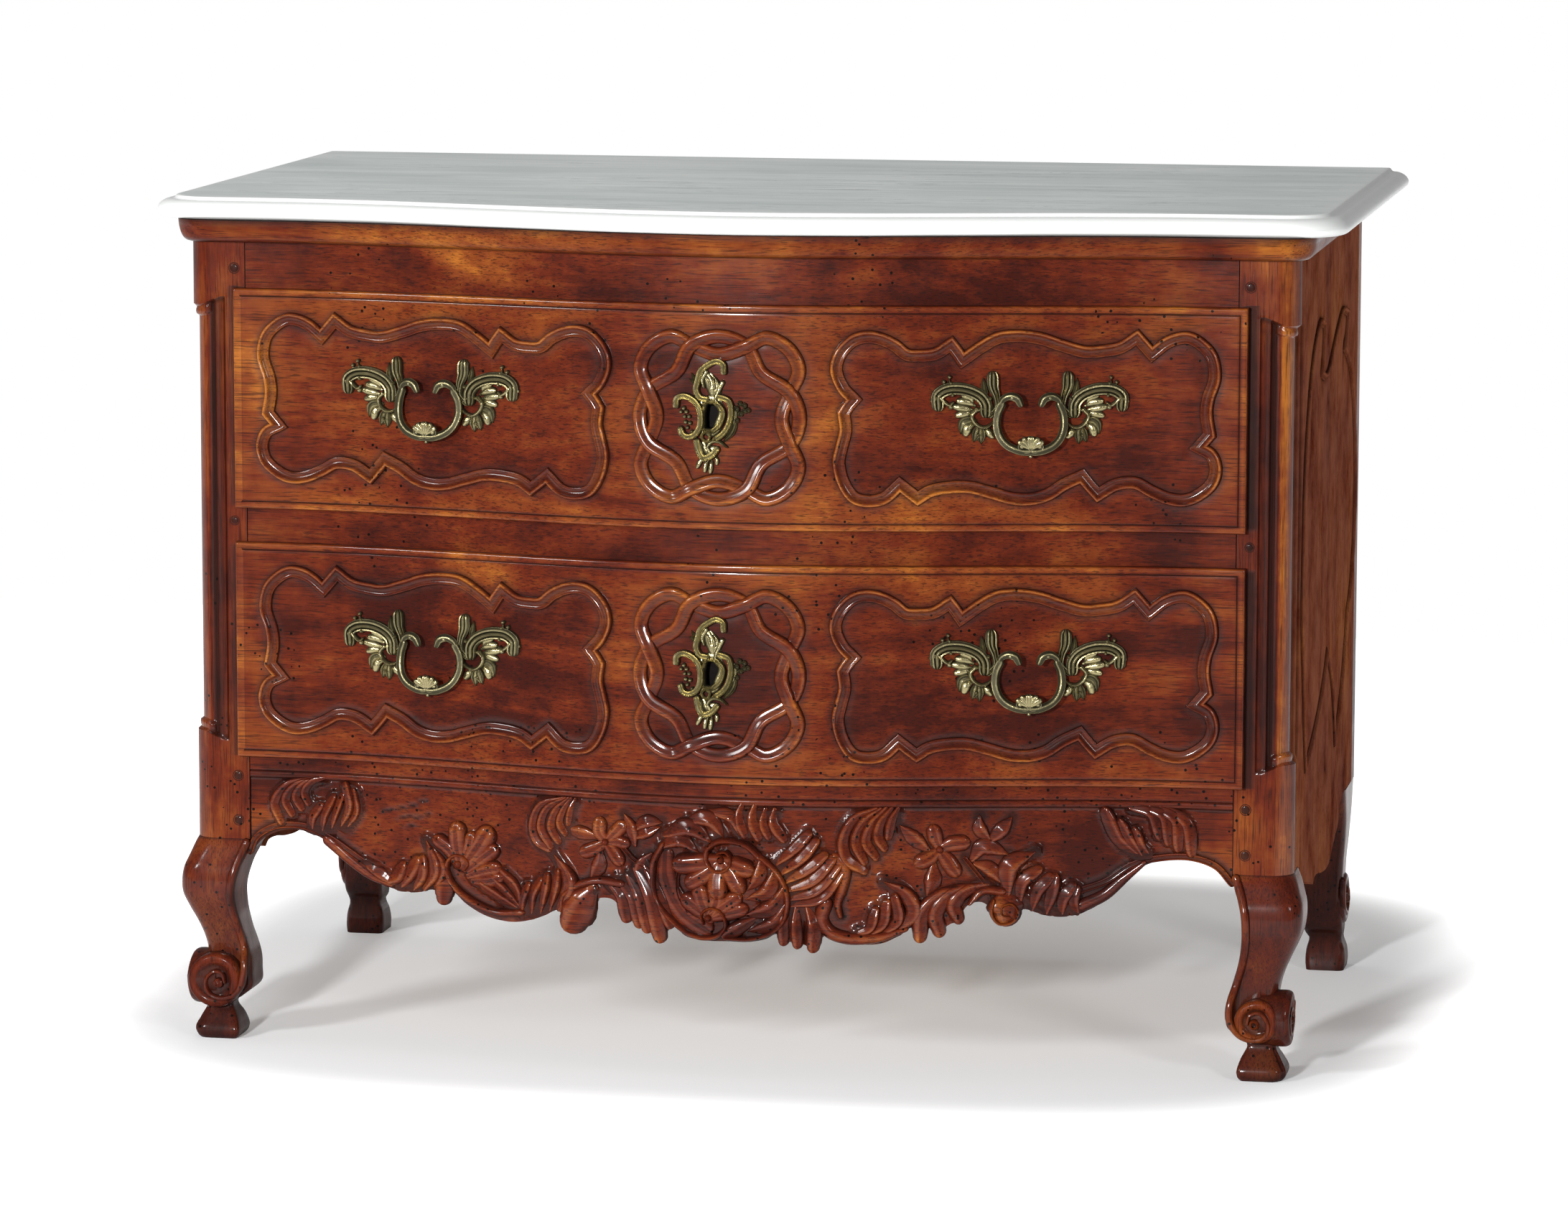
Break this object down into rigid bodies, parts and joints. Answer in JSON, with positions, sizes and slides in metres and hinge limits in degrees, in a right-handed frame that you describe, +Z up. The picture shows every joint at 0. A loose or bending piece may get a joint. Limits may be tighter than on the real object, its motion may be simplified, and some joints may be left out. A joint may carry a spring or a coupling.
{
  "type": "commode chest",
  "caption": "Bowed walnut commode with a marble top, long drawers on wooden runners, fixed brass pulls and cabriole legs.",
  "frame": {"origin": "on the floor, under the middle of the bounding box", "axes": "+X along the width, to the right as seen from the front; +Y to the back; +Z up. The drawers open towards -Y"},
  "size_m": [1.32, 0.813, 0.94],
  "materials": {
    "walnut": "waxed",
    "plain_wood": "dry, planed",
    "brass": "aged, rubbed bright on the high places",
    "iron": "dark, forged",
    "marble": "polished, grey veins"
  },
  "bodies": {
    "carcass": {"marble_top": "marble", "cornice_front": "walnut", "cornice_left": "walnut", "cornice_right": "walnut", "stile_front_left": "walnut", "stile_front_right": "walnut", "stile_back_left": "walnut", "stile_back_right": "walnut", "top_rail": "walnut", "middle_rail": "walnut", "apron_front": "walnut", "side_board_left": "walnut", "side_board_right": "walnut", "back_rail_top": "plain_wood", "back_rail_bottom": "plain_wood", "back_board_1": "plain_wood", "back_board_2": "plain_wood", "back_board_3": "plain_wood", "top_board": "plain_wood", "dust_board_upper": "plain_wood", "dust_board_lower": "plain_wood", "runner_upper_left": "plain_wood", "runner_upper_right": "plain_wood", "runner_lower_left": "plain_wood", "runner_lower_right": "plain_wood", "guide_upper_left": "plain_wood", "guide_upper_right": "plain_wood", "guide_lower_left": "plain_wood", "guide_lower_right": "plain_wood"},
    "drawer_upper": {"drawer_upper_front": "walnut", "drawer_upper_left_side": "plain_wood", "drawer_upper_right_side": "plain_wood", "drawer_upper_back": "plain_wood", "drawer_upper_bottom": "plain_wood", "handle_upper_left": "brass", "handle_upper_right": "brass", "nut_upper_left_left": "iron", "nut_upper_left_right": "iron", "nut_upper_right_left": "iron", "nut_upper_right_right": "iron", "escutcheon_upper": "brass", "lock_case_upper": "iron"},
    "drawer_lower": {"drawer_lower_front": "walnut", "drawer_lower_left_side": "plain_wood", "drawer_lower_right_side": "plain_wood", "drawer_lower_back": "plain_wood", "drawer_lower_bottom": "plain_wood", "handle_lower_left": "brass", "handle_lower_right": "brass", "nut_lower_left_left": "iron", "nut_lower_left_right": "iron", "nut_lower_right_left": "iron", "nut_lower_right_right": "iron", "escutcheon_lower": "brass", "lock_case_lower": "iron"},
    "bolt_upper": {"lock_bolt_upper": "iron"},
    "bolt_lower": {"lock_bolt_lower": "iron"}
  },
  "joints": [
    {"name": "drawer_upper_slide", "type": "slide", "parent": "carcass", "child": "drawer_upper", "axis": [0, -1, 0], "range_m": [0, 0.42]},
    {"name": "drawer_lower_slide", "type": "slide", "parent": "carcass", "child": "drawer_lower", "axis": [0, -1, 0], "range_m": [0, 0.42]},
    {"name": "lock_bolt_upper_slide", "type": "slide", "parent": "drawer_upper", "child": "bolt_upper", "axis": [0, 0, 1], "range_m": [0, 0.01]},
    {"name": "lock_bolt_lower_slide", "type": "slide", "parent": "drawer_lower", "child": "bolt_lower", "axis": [0, 0, 1], "range_m": [0, 0.01]}
  ]
}
